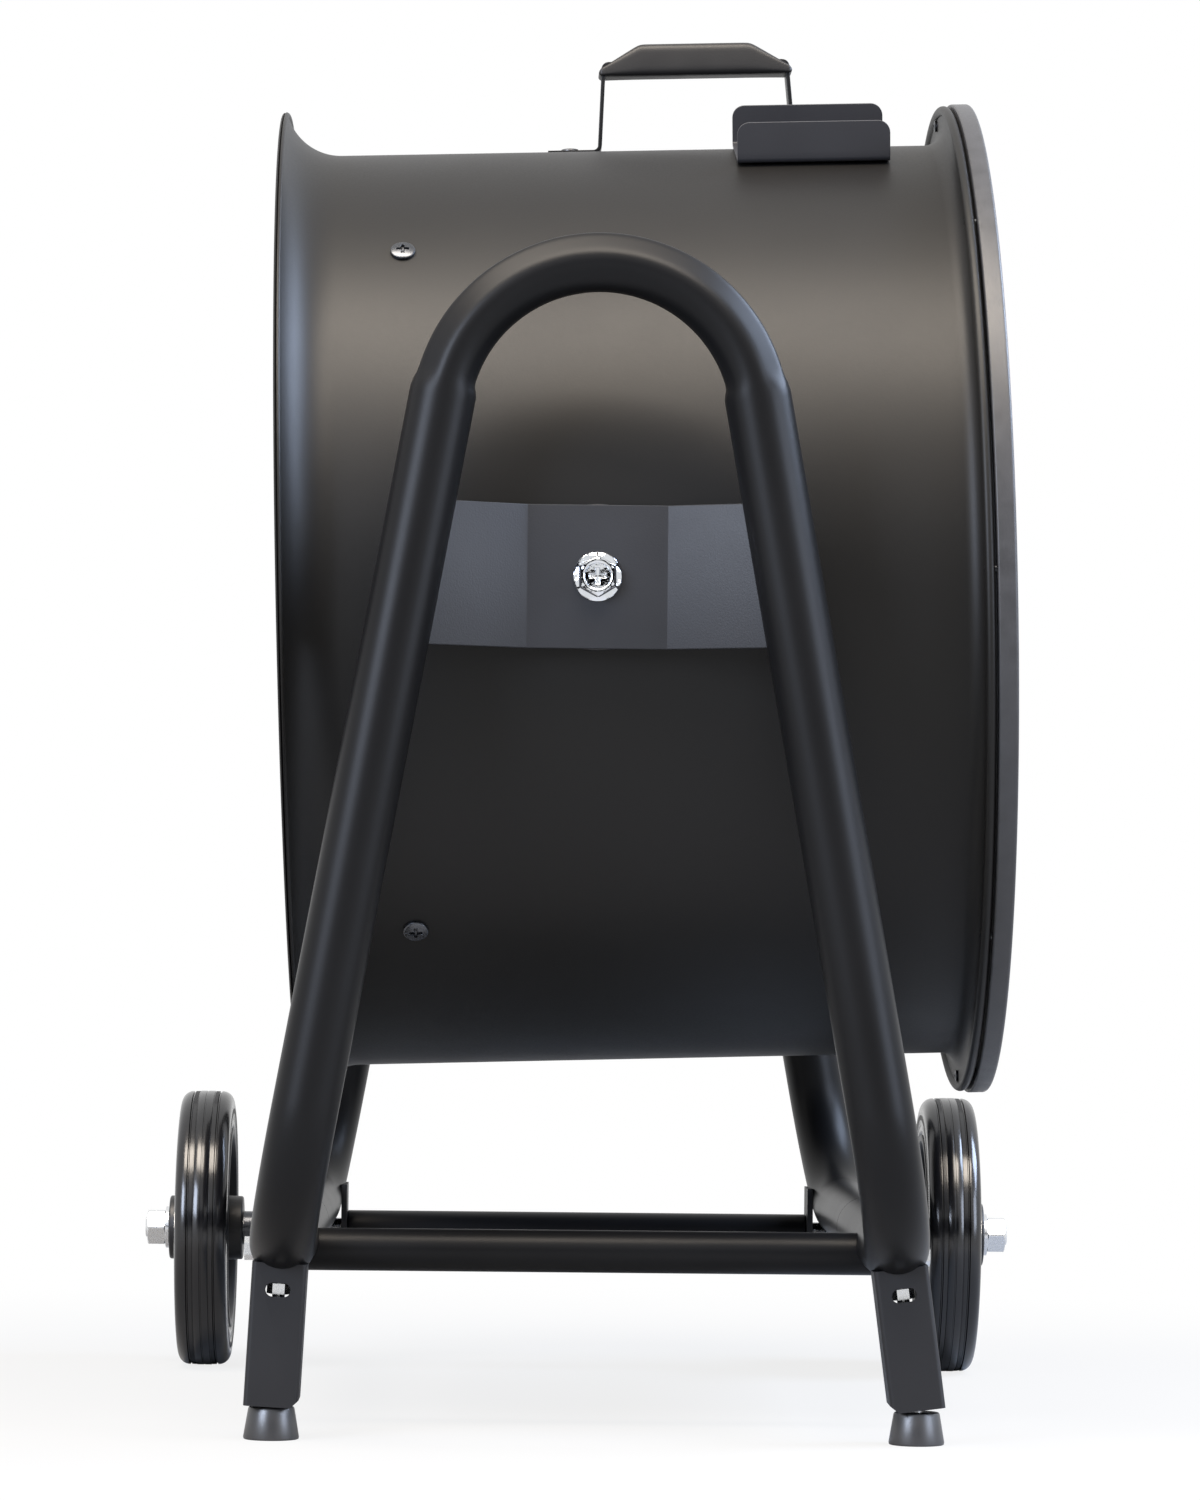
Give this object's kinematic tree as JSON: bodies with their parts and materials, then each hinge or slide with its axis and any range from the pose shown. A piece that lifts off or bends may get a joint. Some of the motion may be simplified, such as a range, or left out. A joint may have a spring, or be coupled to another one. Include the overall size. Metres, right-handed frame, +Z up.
{
  "type": "drum fan",
  "caption": "Tilting drum fan: flared steel drum with wire guards, motor and blades, hung between two arched tube side frames on wheels and rubber feet.",
  "frame": {"origin": "centre of the fan's footprint on the floor", "axes": "+Z up, +X the way the air blows, +Y along the tilt axis towards the wheels"},
  "size_m": [0.625, 0.7914, 0.9174],
  "materials": {
    "black_powder_coat": "satin black powder coat",
    "black_guard_wire": "black coated steel wire",
    "zinc_plate": "bright zinc plated steel",
    "black_hardware": "blackened steel fasteners",
    "tyre_rubber": "solid black rubber, ribbed",
    "foot_rubber": "moulded black rubber",
    "hub_plastic": "black moulded polypropylene",
    "bush_plastic": "natural nylon",
    "grip_plastic": "black moulded plastic",
    "pad_plastic": "black nylon",
    "box_plastic": "black moulded ABS",
    "knob_plastic": "black moulded plastic",
    "blade_aluminium": "mill finish aluminium sheet",
    "motor_paint": "black enamel",
    "bell_aluminium": "cast aluminium",
    "motor_steel": "bare steel laminations and shafts",
    "copper_wire": "enamelled copper wire",
    "capacitor_case": "pale plastic can",
    "lead_sleeve": "black sleeving"
  },
  "bodies": {
    "stand": {"side_frame_near": "black_powder_coat", "side_frame_far": "black_powder_coat", "joint_screws": "zinc_plate", "front_cross_tube": "black_powder_coat", "cross_tube_bolts": "zinc_plate", "axle_tube": "black_powder_coat", "axle_bracket_rear": "black_powder_coat", "axle_bracket_front": "black_powder_coat", "axle_rod": "zinc_plate", "axle_spacers": "zinc_plate", "axle_nuts": "zinc_plate", "foot_studs": "zinc_plate", "foot_leg_rear": "black_powder_coat", "foot_leg_front": "black_powder_coat", "rubber_foot_rear": "foot_rubber", "rubber_foot_front": "foot_rubber", "foot_screws": "zinc_plate", "pivot_plate_near": "black_powder_coat", "pivot_plate_far": "black_powder_coat"},
    "drum": {"box_lid": "box_plastic", "box_lid_screws": "zinc_plate", "cable_gland": "pad_plastic", "capacitor": "capacitor_case", "cord_cradle": "black_powder_coat", "drum_rivets": "black_hardware", "drum_screw_nuts": "zinc_plate", "drum_screws": "zinc_plate", "drum_shell": "black_powder_coat", "front_guard": "black_guard_wire", "guard_band": "black_powder_coat", "guard_centre_plates": "black_powder_coat", "guard_screws": "zinc_plate", "handle_grip": "grip_plastic", "handle_strap": "black_powder_coat", "motor_bearings": "motor_steel", "motor_end_bells": "bell_aluminium", "motor_housing": "motor_paint", "motor_lead": "lead_sleeve", "motor_mount": "black_powder_coat", "pivot_bolts": "zinc_plate", "pivot_nuts": "zinc_plate", "pivot_pads": "pad_plastic", "pivot_stiffeners": "black_powder_coat", "rear_guard": "black_guard_wire", "rear_guard_clips": "black_powder_coat", "rotary_switch": "box_plastic", "stator_core": "motor_steel", "stator_windings": "copper_wire", "switch_box": "box_plastic"},
    "fan": {"rotor": "motor_steel", "blade_hub": "bell_aluminium", "hub_set_screw": "zinc_plate", "fan_blades": "blade_aluminium"},
    "wheel_rear": {"tyre_rear": "tyre_rubber", "wheel_hub_rear": "hub_plastic", "wheel_bush_rear": "bush_plastic"},
    "wheel_front": {"tyre_front": "tyre_rubber", "wheel_hub_front": "hub_plastic", "wheel_bush_front": "bush_plastic"},
    "knob": {"switch_knob": "knob_plastic"}
  },
  "joints": [
    {"name": "drum_tilt", "type": "hinge", "parent": "stand", "child": "drum", "pos_m": [0, -0.01725, 0.53506], "axis": [0, -1, 0], "range_deg": [-90, 90]},
    {"name": "fan_spin", "type": "hinge", "parent": "drum", "child": "fan", "pos_m": [0, -0.01725, 0.53506], "axis": [0.9995, 0, 0.0305], "continuous": true},
    {"name": "wheel_rear_spin", "type": "hinge", "parent": "stand", "child": "wheel_rear", "pos_m": [-0.2685, 0.29675, 0.099], "axis": [1, 0, 0], "continuous": true},
    {"name": "wheel_front_spin", "type": "hinge", "parent": "stand", "child": "wheel_front", "pos_m": [0.2685, 0.29675, 0.099], "axis": [1, 0, 0], "continuous": true},
    {"name": "knob_turn", "type": "hinge", "parent": "drum", "child": "knob", "pos_m": [-0.01002, 0.19135, 0.76467], "axis": [-0.0216, 0.7071, 0.7068], "range_deg": [-135, 0]}
  ]
}
